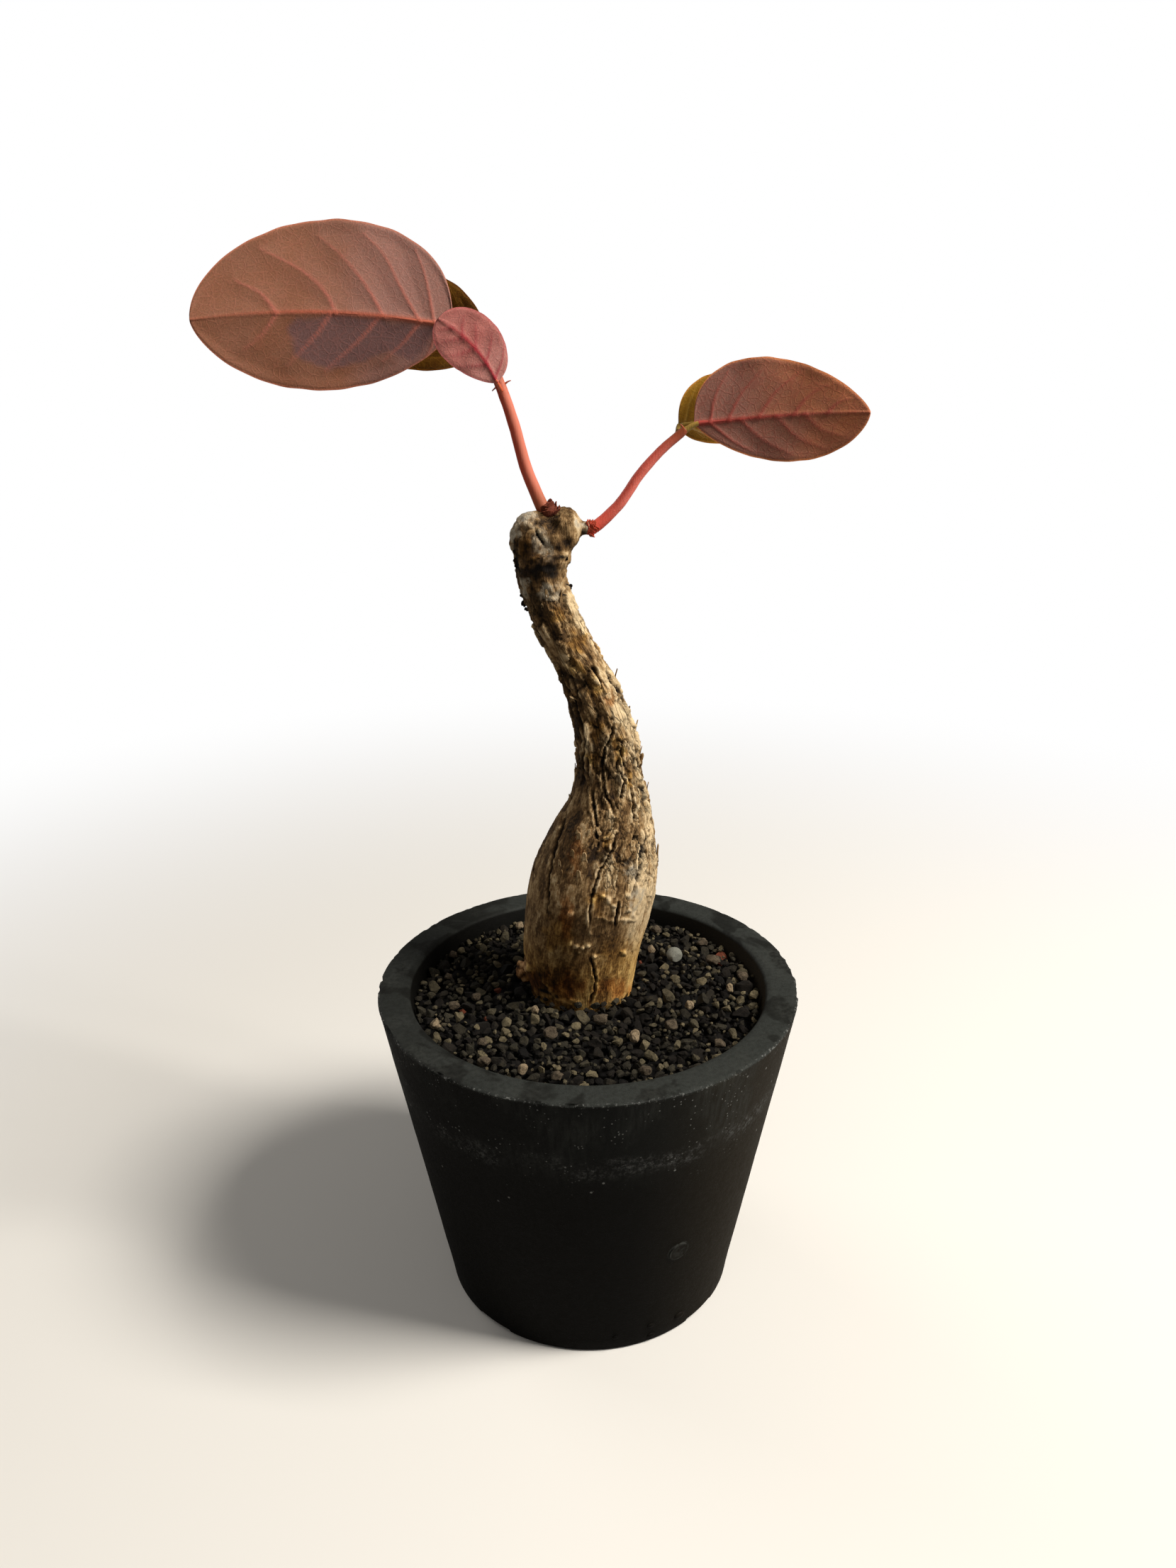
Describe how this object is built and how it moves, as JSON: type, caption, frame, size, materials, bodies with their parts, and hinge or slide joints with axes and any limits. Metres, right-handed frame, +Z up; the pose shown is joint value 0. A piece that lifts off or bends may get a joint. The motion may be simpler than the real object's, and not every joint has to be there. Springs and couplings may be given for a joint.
{
  "type": "phyllanthus mirabilis bonsai",
  "caption": "Potted caudex bonsai: swollen fissured trunk with a knobbly crown, young red shoots and reddish leaves, in a tapered black pot filled with fine lava grit.",
  "frame": {"origin": "centre of the flat underside of the pot", "axes": "+Z up along the pot's axis, -Y towards the viewer of the picture, +X to that viewer's right"},
  "size_m": [0.1376, 0.1046, 0.2587],
  "materials": {
    "pot": "unglazed matt black pot, greyer and smoother on its rim, with faint wipe marks and pale specks",
    "net": "black plastic net",
    "gravel": "coarse rough drainage gravel",
    "grit": "fine mixed lava and pumice grit, dark brown to grey",
    "bark": "fissured tan and dark brown bark, smoother towards the soil, grey and waxy at the crown",
    "bud_scale_dark": "small dry red-brown bud scales",
    "bud_scale_red": "small dry red bud scales",
    "shoot_salmon": "smooth young stem, brown-red to salmon",
    "shoot_red": "smooth young stem, bright red",
    "leaf_underside": "matt brownish-pink underside of a leaf with raised pink veins",
    "leaf_pink": "soft pink young leaf with a crimson midrib",
    "leaf_olive": "olive-brown upper face of a leaf",
    "stone_dark": "rough dark lava",
    "stone_tan": "rough tan pumice",
    "stone_pale": "smooth pale grey pebble"
  },
  "bodies": {
    "root": {"pot": "pot", "drain_net": "net", "drainage_gravel": "gravel", "soil": "grit", "trunk": "bark", "left_bud_scales": "bud_scale_dark", "right_bud_scales": "bud_scale_red", "left_shoot": "shoot_salmon", "right_shoot": "shoot_red", "left_large_leaf": "leaf_underside", "left_far_leaf": "leaf_olive", "left_small_leaf": "leaf_pink", "right_near_leaf": "leaf_underside", "right_far_leaf": "leaf_olive", "stone_01": "stone_tan", "stone_02": "stone_dark", "stone_03": "stone_dark", "stone_04": "stone_tan", "stone_05": "stone_dark", "stone_06": "stone_dark", "stone_07": "stone_tan", "stone_08": "stone_dark", "stone_09": "stone_dark", "stone_10": "stone_tan", "stone_11": "stone_dark", "stone_12": "stone_dark", "stone_13": "stone_tan", "stone_14": "stone_dark", "stone_15": "stone_dark", "stone_16": "stone_tan", "stone_17": "stone_dark", "stone_18": "stone_dark", "stone_19": "stone_tan", "stone_20": "stone_dark", "stone_21": "stone_dark", "stone_22": "stone_tan", "stone_23": "stone_dark", "stone_24": "stone_dark", "pale_pebble": "stone_pale"}
  },
  "joints": []
}
